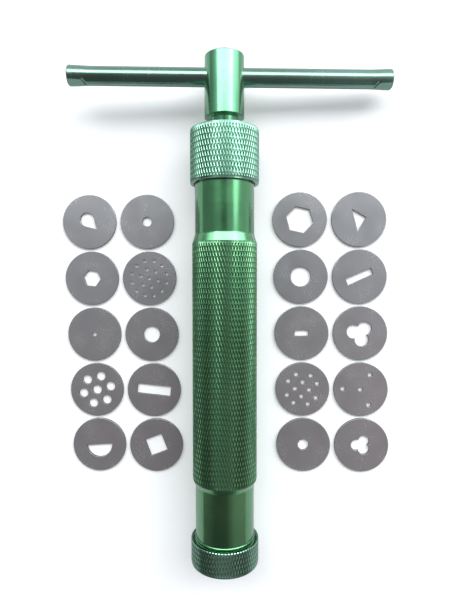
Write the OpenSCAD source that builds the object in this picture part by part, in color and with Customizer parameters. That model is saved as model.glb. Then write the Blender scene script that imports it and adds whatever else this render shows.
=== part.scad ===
// Hand-turned clay extruder lying on a table beside its set of loose die discs.
// Millimetres. The tool lies along Y with the nose at -Y and the handle at +Y.
// The origin is on the table under the middle of the tool's length, and +Z is up.
// Places along the tool are measured from the front face of the nose.

/* [Barrel] */
// Outside diameter of the plain tube
barrel_d = 19.5; // [17:0.1:26]
// Wall of the plain tube round the bore that holds the clay
barrel_wall_t = 1.75; // [1.3:0.05:2.5]
// How far the knurled grip stands out from the plain tube
grip_rise = 0.95; // [0.4:0.05:1.4]
// Length of the knurled grip
grip_l = 77.9; // [60:0.1:110]
// Length of the taper behind the grip
grip_rear_taper = 3.1; // [1:0.1:5]
// Length of the taper in front of the grip
grip_front_taper = 2.2; // [1:0.1:5]
// Plain tube between the grip and the rear cap
rear_shank_l = 16.1; // [8:0.1:30]
// Plain tube between the grip and the front cap
front_shank_l = 18.1; // [10:0.1:30]

/* [Cap threads] */
// How far the fine thread on both ends of the barrel stands out from the plain tube
thread_rise = 0.25; // [0.2:0.05:0.4]
// Thread left showing behind the front cap
front_thread_show = 1; // [0.5:0.1:3]
// Lead-in chamfer on the thread ends
thread_chamfer = 0.4; // [0.2:0.1:0.8]
// Play on the radius of every screwed or loose fit
fit_play = 0.1; // [0.05:0.01:0.2]

/* [Caps] */
// Wall of both caps from their bore to the top of the knurl, on which the tool lies level
cap_wall_t = 1.2; // [1.1:0.05:2.5]
// Length of the rear cap
rear_cap_l = 17.4; // [14:0.1:24]
// Thickness of the rear cap's end wall, which holds the drive thread
rear_wall_t = 6; // [4:0.1:9]
// Flat left between the rear cap's bore and its outer chamfer
rear_mouth_land = 0.15; // [0.1:0.05:0.4]
// Length of the front cap
front_cap_l = 8.3; // [7:0.1:14]
// Thickness of the front cap's lip, on which a die sits
front_lip_t = 1.6; // [1:0.1:2.5]
// How far the lip reaches inside the line of the bore
lip_reach = 0.2; // [0.1:0.05:1]
// Chamfer on the outer edges of the caps
cap_edge = 0.4; // [0.2:0.1:0.6]
// Thickness of the washers under both caps
seal_t = 0.8; // [0.5:0.1:1.5]

/* [Drive screw] */
// Diameter of the drive thread
screw_d = 10; // [9:0.1:10.5]
// Pitch of the drive thread
screw_pitch = 2; // [1.5:0.25:3]
// Depth of the drive thread
thread_depth = 0.9; // [0.5:0.1:1]
// Diameter of the plain neck under the head
neck_d = 9.5; // [8.5:0.1:10]
// Length of the plain neck
neck_l = 7; // [5:0.1:12]
// Gap between the rear cap and the head as it lies
head_gap = 4.1; // [1:0.1:30]
// Diameter of the head
head_d = 13; // [11.5:0.1:16]
// Length of the head
head_l = 19.8; // [14:0.1:28]
// Chamfer on the head's edges
head_edge = 0.5; // [0.2:0.1:1]

/* [Tommy bar] */
// Diameter of the cross bar
bar_d = 6; // [5:0.1:7.5]
// Length of the cross bar
bar_l = 105.4; // [80:0.1:108]
// How far the flared ends stand out from the bar, so that they can't pass the cross hole
flare_rise = 0.25; // [0.15:0.05:0.6]
// Length of each flared end
flare_l = 5.6; // [3:0.1:10]
// Chamfer on the bar's ends
bar_edge = 0.4; // [0.2:0.1:0.8]
// Distance of the cross hole from the head's end
bar_inset = 6.7; // [6:0.1:9]
// How far the bar has slid through the head
bar_shift = 2.3; // [-2:0.1:3]
// Angle that the handle has been turned from level
handle_turn = 3.4; // [0:0.1:6]

/* [Piston] */
// Length of the piston
piston_l = 10; // [9:0.1:14]
// Gap left in front of the piston when the head meets the rear cap
piston_clear = 0.6; // [0.4:0.1:3]
// Thickness of the piston's rubber ring
ring_t = 2; // [1.4:0.1:2.4]
// Clearance of the rubber ring in its groove and in the bore
ring_play = 0.05; // [0.02:0.01:0.1]
// Running clearance on the radius between the piston and what it moves on
piston_play = 0.08; // [0.04:0.01:0.1]
// Diameter of the spigot that the piston turns on
spigot_d = 7; // [6:0.1:7.6]
// End play of the piston on the spigot
spigot_float = 0.1; // [0.05:0.05:0.3]
// Diameter of the recess in the piston's face
recess_d = 11; // [10.6:0.1:11.6]
// Depth of the recess in the piston's face
recess_l = 3.2; // [3:0.1:4]
// Diameter of the washer that holds the piston
washer_d = 10; // [9.2:0.1:10.2]
// Thickness of the washer that holds the piston
washer_t = 0.8; // [0.5:0.1:0.9]
// Diameter of the retaining screw's shank
pin_d = 4; // [3:0.1:4.4]
// Length of the retaining screw's shank behind the washer
pin_l = 8; // [5:0.1:12]
// Diameter of the retaining screw's head
pin_head_d = 7; // [6:0.1:8]
// Height of the retaining screw's head
pin_head_t = 1.9; // [1.2:0.1:2]
// Distance across the corners of the retaining screw's socket
socket_d = 2.9; // [2:0.1:3]
// Depth of the retaining screw's socket
socket_l = 1.2; // [0.6:0.1:1.2]

/* [Die discs and how they are laid out] */
// Clearance on the radius of a die disc in the front cap
die_play = 0.6; // [0.2:0.1:0.9]
// Thickness of a die disc
die_t = 1; // [0.6:0.1:1.4]
// Gap between discs along a column
die_row_gap = 0.9; // [0.6:0.1:3]
// Gap between the two columns of a side
die_col_gap = 1.5; // [1:0.1:4]
// Gap between the caps and the nearest straight column
die_side_gap = 6.8; // [5:0.1:12]
// How far the left columns drift towards +X from row to row
left_drift = 0.7; // [0:0.1:0.9]
// How far the right columns drift towards +X from row to row
right_drift = 0.4; // [0:0.1:0.9]
// How far the right side lies ahead of the left along Y
right_lead = 0.5; // [-1:0.1:1]
// Place of the middle row along Y
mid_row_y = -8; // [-20:0.1:20]

/* [Die apertures] */
// Radius of the teardrop's round end
teardrop_r = 2.4; // [1.5:0.1:3]
// Distance from the teardrop's round centre to its point
teardrop_l = 4.6; // [3.4:0.1:5.5]
// Diameter of the small round hole
small_round_d = 3.2; // [2.5:0.1:3.6]
// Small hexagon, across its corners
small_hexagon_d = 6.1; // [4:0.1:8]
// Diameter of each of the nineteen holes
nineteen_d = 1; // [0.6:0.1:1.4]
// Radius of the inner ring of the nineteen holes
nineteen_r1 = 3.2; // [2.6:0.1:3.8]
// Radius of the outer ring of the nineteen holes
nineteen_r2 = 6.3; // [5.6:0.1:6.8]
// Diameter of the pinhole
pinhole_d = 1.4; // [0.8:0.1:2]
// Diameter of the medium round hole
medium_round_d = 5.7; // [4.6:0.1:6.4]
// Diameter of each of the seven holes
seven_d = 3.2; // [2:0.1:3.8]
// Radius of the ring of the seven holes
seven_r = 5; // [4.6:0.1:5.6]
// Length of the wide slot
wide_slot_l = 11.8; // [9:0.1:13]
// Width of the wide slot
wide_slot_w = 3.4; // [2:0.1:5]
// Radius of the half round
half_round_r = 4.5; // [3:0.1:6]
// Side of the square
square_w = 6.2; // [4:0.1:8]
// Large hexagon, across its corners
large_hexagon_d = 9.6; // [8:0.1:12]
// Each short side of the right-angled triangle
triangle_leg = 5.7; // [4:0.1:8]
// Diameter of the large round hole
large_round_d = 6.9; // [6.5:0.1:9]
// Length of the long slot
long_slot_l = 9.5; // [7:0.1:12]
// Width of the long slot
long_slot_w = 2.3; // [1.5:0.1:3.5]
// Length of the short slot
short_slot_l = 4.7; // [3:0.1:6]
// Width of the short slot
short_slot_w = 2; // [1:0.1:3]
// Radius of each lobe of the large trefoil
large_lobe_r = 2.4; // [2.2:0.1:3]
// Distance of the large trefoil's lobes from its centre
large_lobe_at = 2.3; // [1.8:0.1:2.5]
// Diameter of each of the twelve holes
twelve_d = 1.5; // [0.8:0.1:2.2]
// Spacing of the grid that the twelve holes lie on
twelve_pitch = 3.6; // [2.8:0.1:4]
// Diameter of each of the four holes
four_d = 1.6; // [1:0.1:2.2]
// Radius of the ring of the four holes
four_r = 6.2; // [4:0.1:6.6]
// Diameter of the fine round hole
fine_round_d = 3.8; // [3.7:0.1:4.5]
// Radius of each lobe of the small trefoil
small_lobe_r = 1.9; // [1.7:0.1:2.4]
// Distance of the small trefoil's lobes from its centre
small_lobe_at = 1.7; // [1.2:0.1:1.9]

/* [Hidden] */
$fn = 96;
cut = 1;

green = [0.16, 0.42, 0.27];
steel = [0.62, 0.62, 0.63];
nylon = [0.86, 0.85, 0.80];
black = [0.06, 0.06, 0.06];

bore_d = barrel_d - 2 * barrel_wall_t;
grip_d = barrel_d + 2 * grip_rise;
cap_thread_d = barrel_d + 2 * thread_rise;
cap_bore_d = cap_thread_d + 2 * fit_play;
cap_d = cap_bore_d + 2 * cap_wall_t;
mouth_d = bore_d - 2 * lip_reach;
seal_d = cap_thread_d - 2 * fit_play;
die_d = cap_bore_d - 2 * die_play;
bar_hole_d = bar_d + 2 * fit_play;
flare_d = bar_d + 2 * flare_rise;

// Places along the tool, from the nose to the end of the head
barrel_front = front_lip_t + seal_t;
front_thread_end = front_cap_l + front_thread_show;
front_taper_at = front_cap_l + front_shank_l;
grip_front = front_taper_at + grip_front_taper;
grip_rear = grip_front + grip_l;
rear_taper_end = grip_rear + grip_rear_taper;
rear_cap_mouth = rear_taper_end + rear_shank_l;
rear_cap_end = rear_cap_mouth + rear_cap_l;
rear_cap_floor = rear_cap_end - rear_wall_t;
barrel_rear = rear_cap_floor - seal_t;
rear_chamfer = cap_wall_t - rear_mouth_land;
rear_thread_at = rear_cap_mouth + rear_chamfer;
head_at = rear_cap_end + head_gap;
tool_l = head_at + head_l;
bar_at = tool_l - bar_inset;

piston_face = barrel_front + piston_clear + head_gap;
piston_back = piston_face + piston_l;
recess_floor = piston_face + recess_l;
spigot_end = recess_floor - spigot_float;
pin_head_at = spigot_end - washer_t;
pin_hole_d = pin_d + 2 * fit_play;
pin_hole_extra = 1;

ring_r = bore_d / 2 - ring_play - ring_t / 2;
ring_at = piston_face + (piston_l + recess_l) / 2;
groove_r = ring_r - ring_t / 2 - ring_play;
groove_w = ring_t + 2 * ring_play;

thread_crest = screw_pitch * 0.36;
thread_flank = (screw_pitch - 2 * thread_crest) / 2;
thread_from = piston_back + screw_pitch;
thread_turns = floor((head_at - neck_l - thread_from) / screw_pitch);

last_row = 4;
outer_x = cap_d / 2 + die_side_gap + die_d / 2 + die_d + die_col_gap;
inner_x = outer_x - die_d - die_col_gap;

// Turns a piece drawn along +Z from the nose so that it lies along the tool
module along_tool() {
    translate([0, -tool_l / 2, cap_d / 2])
        rotate([-90, 0, 0])
            children();
}

module tube(outer, inner, length) {
    difference() {
        cylinder(d = outer, h = length);
        translate([0, 0, -cut])
            cylinder(d = inner, h = length + 2 * cut);
    }
}

module barrel() {
    color(green)
        along_tool()
            rotate_extrude()
                polygon([
                    [bore_d / 2, barrel_front],
                    [cap_thread_d / 2 - thread_chamfer, barrel_front],
                    [cap_thread_d / 2, barrel_front + thread_chamfer],
                    [cap_thread_d / 2, front_thread_end],
                    [barrel_d / 2, front_thread_end + thread_chamfer],
                    [barrel_d / 2, front_taper_at],
                    [grip_d / 2, grip_front],
                    [grip_d / 2, grip_rear],
                    [barrel_d / 2, rear_taper_end],
                    [barrel_d / 2, rear_thread_at],
                    [cap_thread_d / 2, rear_thread_at + thread_chamfer],
                    [cap_thread_d / 2, barrel_rear - thread_chamfer],
                    [cap_thread_d / 2 - thread_chamfer, barrel_rear],
                    [bore_d / 2, barrel_rear]
                ]);
}

module front_cap() {
    color(green)
        along_tool()
            rotate_extrude()
                polygon([
                    [mouth_d / 2, 0],
                    [cap_d / 2 - cap_edge, 0],
                    [cap_d / 2, cap_edge],
                    [cap_d / 2, front_cap_l],
                    [cap_bore_d / 2 + cap_edge, front_cap_l],
                    [cap_bore_d / 2, front_cap_l - cap_edge],
                    [cap_bore_d / 2, front_lip_t],
                    [mouth_d / 2, front_lip_t]
                ]);
}

module front_seal() {
    color(nylon)
        along_tool()
            translate([0, 0, front_lip_t])
                tube(seal_d, bore_d, seal_t);
}

module rear_cap() {
    color(green)
        along_tool()
            rotate_extrude()
                polygon([
                    [cap_bore_d / 2, rear_cap_mouth],
                    [cap_bore_d / 2 + rear_mouth_land, rear_cap_mouth],
                    [cap_d / 2, rear_cap_mouth + rear_chamfer],
                    [cap_d / 2, rear_cap_end - cap_edge],
                    [cap_d / 2 - cap_edge, rear_cap_end],
                    [screw_d / 2 + fit_play, rear_cap_end],
                    [screw_d / 2 + fit_play, rear_cap_floor],
                    [cap_bore_d / 2, rear_cap_floor]
                ]);
}

module rear_seal() {
    color(nylon)
        along_tool()
            translate([0, 0, barrel_rear])
                tube(seal_d, bore_d, seal_t);
}

// One turn of the thread is drawn as a ring, from the crest's front to the root's end
function thread_ring(at) = [
    [screw_d / 2, at],
    [screw_d / 2, at + thread_crest],
    [screw_d / 2 - thread_depth, at + thread_crest + thread_flank],
    [screw_d / 2 - thread_depth, at + screw_pitch - thread_flank]
];

module drive_screw() {
    rings = [
        for (turn = [0 : thread_turns - 1])
            each thread_ring(thread_from + turn * screw_pitch)
    ];
    color(green)
        along_tool()
            difference() {
                rotate_extrude()
                    polygon(concat(
                        [
                            [0, spigot_end],
                            [spigot_d / 2, spigot_end],
                            [spigot_d / 2, piston_back],
                            [screw_d / 2 - thread_depth, piston_back],
                            [screw_d / 2 - thread_depth, thread_from - thread_flank]
                        ],
                        rings,
                        [
                            [neck_d / 2, thread_from + thread_turns * screw_pitch],
                            [neck_d / 2, head_at],
                            [head_d / 2 - head_edge, head_at],
                            [head_d / 2, head_at + head_edge],
                            [head_d / 2, tool_l - head_edge],
                            [head_d / 2 - head_edge, tool_l],
                            [0, tool_l]
                        ]
                    ));
                translate([0, 0, bar_at])
                    rotate([0, 0, handle_turn])
                        rotate([0, 90, 0])
                            cylinder(d = bar_hole_d, h = head_d + 2 * cut, center = true);
                translate([0, 0, spigot_end - cut])
                    cylinder(d = pin_hole_d, h = pin_l + pin_hole_extra + cut);
            }
}

module tommy_bar() {
    half = bar_l / 2;
    color(green)
        along_tool()
            translate([0, 0, bar_at])
                rotate([0, 0, handle_turn])
                    rotate([0, 90, 0])
                        translate([0, 0, bar_shift])
                            rotate_extrude()
                                polygon([
                                    [0, -half],
                                    [flare_d / 2 - bar_edge, -half],
                                    [flare_d / 2, -half + bar_edge],
                                    [bar_d / 2, -half + flare_l],
                                    [bar_d / 2, half - flare_l],
                                    [flare_d / 2, half - bar_edge],
                                    [flare_d / 2 - bar_edge, half],
                                    [0, half]
                                ]);
}

module piston() {
    color(steel)
        along_tool()
            rotate_extrude()
                polygon([
                    [recess_d / 2, piston_face],
                    [bore_d / 2 - piston_play, piston_face],
                    [bore_d / 2 - piston_play, ring_at - groove_w / 2],
                    [groove_r, ring_at - groove_w / 2],
                    [groove_r, ring_at + groove_w / 2],
                    [bore_d / 2 - piston_play, ring_at + groove_w / 2],
                    [bore_d / 2 - piston_play, piston_back],
                    [spigot_d / 2 + piston_play, piston_back],
                    [spigot_d / 2 + piston_play, recess_floor],
                    [recess_d / 2, recess_floor]
                ]);
}

module piston_ring() {
    color(black)
        along_tool()
            translate([0, 0, ring_at])
                rotate_extrude()
                    translate([ring_r, 0])
                        circle(d = ring_t);
}

module piston_washer() {
    color(steel)
        along_tool()
            translate([0, 0, pin_head_at])
                tube(washer_d, pin_hole_d, washer_t);
}

module piston_screw() {
    color(steel)
        along_tool()
            translate([0, 0, pin_head_at])
                difference() {
                    union() {
                        translate([0, 0, -pin_head_t])
                            cylinder(d = pin_head_d, h = pin_head_t);
                        cylinder(d = pin_d, h = washer_t + pin_l);
                    }
                    translate([0, 0, -pin_head_t - cut])
                        cylinder(d = socket_d, h = socket_l + cut, $fn = 6);
                }
}

function die_x(column, row) =
    column == 0 ? -outer_x + left_drift * row :
    column == 1 ? -inner_x + left_drift * row :
    column == 2 ? inner_x - right_drift * (last_row - row) :
    outer_x - right_drift * (last_row - row);

function die_y(column, row) =
    mid_row_y + (last_row / 2 - row) * (die_d + die_row_gap)
    + (column < 2 ? -right_lead / 2 : right_lead / 2);

// A loose disc, with the aperture that follows cut through it
module die(column, row, turn = 0) {
    color(steel)
        translate([die_x(column, row), die_y(column, row), 0])
            rotate(turn)
                difference() {
                    cylinder(d = die_d, h = die_t);
                    translate([0, 0, -cut])
                        linear_extrude(die_t + 2 * cut)
                            children();
                }
}

module ring_of_holes(count, radius, hole_d) {
    for (i = [0 : count - 1])
        rotate(i * 360 / count)
            translate([radius, 0])
                circle(d = hole_d);
}

module trefoil(lobe_at, lobe_r) {
    for (i = [0 : 2])
        rotate(i * 120)
            translate([lobe_at, 0])
                circle(r = lobe_r);
}

module die_teardrop() {
    touch = acos(teardrop_r / teardrop_l);
    side = teardrop_r * [cos(touch), sin(touch)];
    die(0, 0, turn = -45)
        translate([-teardrop_l / 4, 0]) {
            circle(r = teardrop_r);
            polygon([[0, 0], [side.x, -side.y], [teardrop_l, 0], side]);
        }
}

module die_small_hexagon() {
    die(0, 1, turn = -7)
        circle(d = small_hexagon_d, $fn = 6);
}

module die_pinhole() {
    die(0, 2)
        circle(d = pinhole_d);
}

module die_seven_holes() {
    die(0, 3, turn = 14) {
        circle(d = seven_d);
        ring_of_holes(6, seven_r, seven_d);
    }
}

module die_half_round() {
    die(0, 4, turn = 4)
        difference() {
            circle(r = half_round_r);
            translate([-half_round_r - cut, 0])
                square([2 * (half_round_r + cut), half_round_r + cut]);
        }
}

module die_small_round() {
    die(1, 0)
        circle(d = small_round_d);
}

module die_nineteen_holes() {
    die(1, 1, turn = 45) {
        circle(d = nineteen_d);
        ring_of_holes(6, nineteen_r1, nineteen_d);
        ring_of_holes(12, nineteen_r2, nineteen_d);
    }
}

module die_medium_round() {
    die(1, 2)
        circle(d = medium_round_d);
}

module die_wide_slot() {
    die(1, 3, turn = -6)
        square([wide_slot_l, wide_slot_w], center = true);
}

module die_square() {
    die(1, 4, turn = 21)
        square(square_w, center = true);
}

module die_large_hexagon() {
    die(2, 0, turn = -13)
        circle(d = large_hexagon_d, $fn = 6);
}

module die_large_round() {
    die(2, 1)
        circle(d = large_round_d);
}

module die_short_slot() {
    die(2, 2, turn = 1)
        square([short_slot_l, short_slot_w], center = true);
}

module die_twelve_holes() {
    die(2, 3, turn = 40)
        for (i = [-1.5 : 1.5], j = [-1.5 : 1.5])
            if (abs(i) + abs(j) < 3)
                translate([i, j] * twelve_pitch)
                    circle(d = twelve_d);
}

module die_fine_round() {
    die(2, 4)
        circle(d = fine_round_d);
}

module die_triangle() {
    reach = triangle_leg / sqrt(2);
    die(3, 0, turn = 15)
        polygon([[reach * 2 / 3, 0], [-reach / 3, reach], [-reach / 3, -reach]]);
}

module die_long_slot() {
    die(3, 1, turn = 24)
        square([long_slot_l, long_slot_w], center = true);
}

module die_large_trefoil() {
    die(3, 2, turn = 45)
        trefoil(large_lobe_at, large_lobe_r);
}

module die_four_holes() {
    die(3, 3, turn = 58) {
        circle(d = four_d);
        ring_of_holes(3, four_r, four_d);
    }
}

module die_small_trefoil() {
    die(3, 4, turn = 60)
        trefoil(small_lobe_at, small_lobe_r);
}

barrel();
front_cap();
front_seal();
rear_cap();
rear_seal();
drive_screw();
tommy_bar();
piston();
piston_ring();
piston_washer();
piston_screw();
die_teardrop();
die_small_round();
die_small_hexagon();
die_nineteen_holes();
die_pinhole();
die_medium_round();
die_seven_holes();
die_wide_slot();
die_half_round();
die_square();
die_large_hexagon();
die_triangle();
die_large_round();
die_long_slot();
die_short_slot();
die_large_trefoil();
die_twelve_holes();
die_four_holes();
die_fine_round();
die_small_trefoil();
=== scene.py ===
import math

import bmesh
import bpy
from mathutils import Matrix, Vector


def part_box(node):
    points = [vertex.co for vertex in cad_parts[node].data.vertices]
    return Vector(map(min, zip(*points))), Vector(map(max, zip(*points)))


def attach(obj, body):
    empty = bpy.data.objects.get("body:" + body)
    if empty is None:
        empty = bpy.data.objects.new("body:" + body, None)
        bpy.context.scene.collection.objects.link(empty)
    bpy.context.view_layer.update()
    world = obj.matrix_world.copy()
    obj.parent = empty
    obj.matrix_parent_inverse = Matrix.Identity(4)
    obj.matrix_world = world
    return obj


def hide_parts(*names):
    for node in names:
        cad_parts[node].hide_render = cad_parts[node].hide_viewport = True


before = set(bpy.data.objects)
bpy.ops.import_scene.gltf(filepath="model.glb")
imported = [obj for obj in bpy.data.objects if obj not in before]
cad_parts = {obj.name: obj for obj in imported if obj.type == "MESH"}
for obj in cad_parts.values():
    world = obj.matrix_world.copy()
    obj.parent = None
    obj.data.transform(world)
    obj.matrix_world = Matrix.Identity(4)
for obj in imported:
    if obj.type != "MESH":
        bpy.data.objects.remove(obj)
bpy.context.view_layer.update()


# Barrel
# One aluminium tube, turned to a plain shank at each end of the grip. The grip is rolled with a
# diamond knurl, both ends are cut with a fine thread for the caps, and the whole is anodised green.
mm = 0.001
axis_z = (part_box("barrel")[0][2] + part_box("barrel")[1][2]) / 2
nose_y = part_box("front_cap")[0][1]

bore_r = 8.0
shank_r = 9.75
barrel_front = 2.4
barrel_rear = 136.3

grip_r = 10.7
grip_knurl = (27.9, 106.7)
grip_teeth = 68
grip_rows = 48
knurl_depth = 0.155
columns_a_tooth = 4

front_taper_at = 26.4
front_taper_ease = (0.2, 0.1)
rear_taper_end = 109.3
rear_taper_ease = (0.15, 0.25)
taper_foot = 0.05

cap_thread_r = 10.0
cap_thread_pitch = 0.75
cap_thread_depth = 0.4
cap_thread_crest = 0.15
thread_run_out = 0.15
front_thread = (2.7, 8.4)
rear_thread = (126.9, 136.0)
front_land_end = 9.0
land_edge = 0.1
land_edge_l = 0.14
land_foot_l = 0.18
shank_edge = 0.05


def ring_of_points(radius, station, columns):
    """Points round the tool's axis at a station measured from the nose, starting at the top.
    Several radii, taken in turn, give a toothed ring."""
    y = nose_y + station * mm
    radii = radius if isinstance(radius, tuple) else (radius,)
    points = []
    for k in range(columns):
        turn = math.tau * k / columns
        reach = radii[k % len(radii)] * mm
        points.append((reach * math.sin(turn), y, axis_z + reach * math.cos(turn)))
    return points


def held_straight(run, margin=0.06):
    """Adds a ring close to each end of a long straight part of an outline, so that only its edges look
    rounded. A part that starts at a toothed ring stays as it is."""
    long_part = 5 * margin
    longer = [run[0]]
    for start, end in zip(run, run[1:]):
        length = 0 if isinstance(start[0], tuple) else math.dist(start, end)
        if length > long_part:
            for share in (margin / length, 1 - margin / length):
                longer.append(tuple(a + (b - a) * share for a, b in zip(start, end)))
        longer.append(end)
    return longer


def put_in_scene(name, data):
    """An object made of a mesh, a curve, a lamp or a camera."""
    made = bpy.data.objects.new(name, data)
    bpy.context.collection.objects.link(made)
    return made


def turned_mesh(name, columns, runs):
    """A piece turned round the tool's axis. Each run is a chain of (radius, station) pairs in mm, and
    radius 0 is a pole."""
    verts = []
    faces = []
    for run in runs:
        rings = []
        for radius, station in held_straight(run):
            first = len(verts)
            if radius == 0:
                verts.append((0, nose_y + station * mm, axis_z))
                rings.append([first] * columns)
            else:
                verts.extend(ring_of_points(radius, station, columns))
                rings.append(list(range(first, first + columns)))
        for lower, upper in zip(rings, rings[1:]):
            for k in range(columns):
                after = (k + 1) % columns
                corners = (lower[k], lower[after], upper[after], upper[k])
                faces.append(list(dict.fromkeys(corners)))
    mesh = bpy.data.meshes.new(name)
    mesh.from_pydata(verts, [], faces)
    return put_in_scene(name, mesh)


def add_node(tree, kind, **settings):
    made = tree.nodes.new(kind)
    for key, value in settings.items():
        setattr(made, key, value)
    return made


def feed(tree, place, value):
    """Sets an input to a number or to a colour of three linear numbers, or links a socket to it."""
    if isinstance(value, tuple):
        place.default_value = (*value, 1.0)
    elif isinstance(value, (int, float)):
        place.default_value = value
    else:
        tree.links.new(value, place)


def calc(tree, operation, *terms):
    """A Math node whose inputs are numbers or other sockets."""
    made = add_node(tree, "ShaderNodeMath", operation=operation)
    for place, term in zip(made.inputs, terms):
        feed(tree, place, term)
    return made.outputs[0]


def sleeve_tree(name, sizes, counts):
    """A tree that adds a sleeve round the tool to the mesh it gets, with named sizes and counts."""
    tree = bpy.data.node_groups.new(name, "GeometryNodeTree")
    tree.interface.new_socket("Turned Body", in_out="INPUT", socket_type="NodeSocketGeometry")
    for label in sizes:
        tree.interface.new_socket(label, in_out="INPUT", socket_type="NodeSocketFloat")
    for label in counts:
        tree.interface.new_socket(label, in_out="INPUT", socket_type="NodeSocketInt")
    tree.interface.new_socket("Finish", in_out="INPUT", socket_type="NodeSocketMaterial")
    tree.interface.new_socket("Whole Piece", in_out="OUTPUT", socket_type="NodeSocketGeometry")
    return tree, add_node(tree, "NodeGroupInput").outputs


def numbered_grid(tree, columns, rows):
    """A flat grid with one unit between its points, and the column and row number of each point."""
    grid = add_node(tree, "GeometryNodeMeshGrid")
    place = add_node(tree, "ShaderNodeSeparateXYZ")
    tree.links.new(add_node(tree, "GeometryNodeInputPosition").outputs[0], place.inputs[0])
    numbers = []
    for way, count in (("X", columns), ("Y", rows)):
        tree.links.new(count, grid.inputs["Size " + way])
        tree.links.new(calc(tree, "ADD", count, 1), grid.inputs["Vertices " + way])
        from_first = calc(tree, "ADD", place.outputs[way], calc(tree, "DIVIDE", count, 2))
        numbers.append(calc(tree, "ROUND", from_first))
    column, row = numbers
    return grid.outputs["Mesh"], column, row


def wrap_and_join(tree, given, grid, low, along, angle):
    """Rolls the grid round the tool's axis, closes it, joins it to the turned body and sets the finish.
    Low is 1 at the bottom of a cut, and is kept on the points for the finish."""
    seam_gap = 0.002 * mm
    depth = calc(tree, "MULTIPLY", given["Cut Depth"], low)
    radius = calc(tree, "SUBTRACT", given["Crest Radius"], depth)
    across = calc(tree, "MULTIPLY", radius, calc(tree, "SINE", angle))
    up = calc(tree, "MULTIPLY_ADD", radius, calc(tree, "COSINE", angle), given["Axis Height"])
    where = add_node(tree, "ShaderNodeCombineXYZ")
    for place, value in zip(where.inputs, (across, along, up)):
        tree.links.new(value, place)
    marked = add_node(tree, "GeometryNodeStoreNamedAttribute", data_type="FLOAT", domain="POINT")
    marked.inputs["Name"].default_value = "cut"
    tree.links.new(low, marked.inputs["Value"])
    rolled = add_node(tree, "GeometryNodeSetPosition")
    closed = add_node(tree, "GeometryNodeMergeByDistance")
    split = add_node(tree, "GeometryNodeTriangulate", quad_method="SHORTEST_DIAGONAL")
    joined = add_node(tree, "GeometryNodeJoinGeometry")
    sewn = add_node(tree, "GeometryNodeMergeByDistance")
    real = add_node(tree, "GeometryNodeRealizeInstances")
    coated = add_node(tree, "GeometryNodeSetMaterial")
    result = add_node(tree, "NodeGroupOutput")
    for seam in (closed, sewn):
        seam.inputs["Distance"].default_value = seam_gap
    tree.links.new(where.outputs[0], rolled.inputs["Position"])
    tree.links.new(given["Finish"], coated.inputs["Material"])
    tree.links.new(given["Turned Body"], joined.inputs[0])
    flowing = grid
    for step in (marked, rolled, closed, split, joined, sewn, real, coated, result):
        tree.links.new(flowing, step.inputs[0])
        flowing = step.outputs[0] if step.outputs else None


def knurl_tree():
    """Two crossing sets of V cuts leave four-sided points with small flat tops. The grid has four columns
    and two rows to a point, so that every cut runs through its corners."""
    rows_a_tooth = 2
    sizes = ("Crest Radius", "Cut Depth", "Front", "Length", "Axis Height")
    tree, given = sleeve_tree("diamond knurl", sizes, ("Teeth", "Rows", "Rear Open"))
    columns = calc(tree, "MULTIPLY", given["Teeth"], columns_a_tooth)
    rows = calc(tree, "MULTIPLY", given["Rows"], rows_a_tooth)
    grid, column, row = numbered_grid(tree, columns, rows)
    in_cut = []
    for crossing in ("ADD", "SUBTRACT"):
        lane = calc(tree, "FLOORED_MODULO", calc(tree, crossing, column, row), columns_a_tooth)
        in_cut.append(calc(tree, "COMPARE", lane, columns_a_tooth / 2, 0.5))
    at_front = calc(tree, "LESS_THAN", row, 0.5)
    at_rear = calc(tree, "GREATER_THAN", row, calc(tree, "SUBTRACT", rows, 0.5))
    at_rear = calc(tree, "SUBTRACT", at_rear, given["Rear Open"])
    ends = calc(tree, "MAXIMUM", at_front, at_rear)
    low = calc(tree, "MAXIMUM", calc(tree, "MAXIMUM", *in_cut), ends)
    share = calc(tree, "DIVIDE", row, rows)
    along = calc(tree, "MULTIPLY_ADD", given["Length"], share, given["Front"])
    angle = calc(tree, "MULTIPLY", calc(tree, "DIVIDE", column, columns), math.tau)
    wrap_and_join(tree, given, grid, low, along, angle)
    return tree


def thread_tree():
    """A right-hand thread whose rows of points run along the helix: crest, crest, root, root, and plain
    root at its ends."""
    rows_a_turn = 4
    lead_in = 0.997
    sizes = ("Crest Radius", "Cut Depth", "Front", "Length", "Pitch", "Crest Width", "Axis Height")
    tree, given = sleeve_tree("screw thread", sizes, ("Columns", "Turns"))
    rows = calc(tree, "MULTIPLY", calc(tree, "ADD", given["Turns"], 2), rows_a_turn)
    grid, column, row = numbered_grid(tree, given["Columns"], rows)
    turn = calc(tree, "FLOOR", calc(tree, "DIVIDE", calc(tree, "ADD", row, 0.5), rows_a_turn))
    step = calc(tree, "SUBTRACT", row, calc(tree, "MULTIPLY", turn, rows_a_turn))
    root = calc(tree, "GREATER_THAN", step, 1.5)
    second = calc(tree, "SUBTRACT", step, calc(tree, "MULTIPLY", root, 2))
    share = calc(tree, "DIVIDE", column, given["Columns"])
    half_turns = calc(tree, "MULTIPLY_ADD", root, 0.5, turn)
    turns_done = calc(tree, "ADD", half_turns, calc(tree, "SUBTRACT", share, lead_in))
    reached = calc(tree, "MULTIPLY", turns_done, given["Pitch"])
    far = calc(tree, "MULTIPLY_ADD", second, given["Crest Width"], reached)
    kept = calc(tree, "MINIMUM", calc(tree, "MAXIMUM", far, 0), given["Length"])
    cut_off = calc(tree, "ABSOLUTE", calc(tree, "SUBTRACT", far, kept))
    low = calc(tree, "MAXIMUM", root, calc(tree, "GREATER_THAN", cut_off, 0))
    along = calc(tree, "ADD", kept, given["Front"])
    wrap_and_join(tree, given, grid, low, along, calc(tree, "MULTIPLY", share, math.tau))
    return tree


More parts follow.
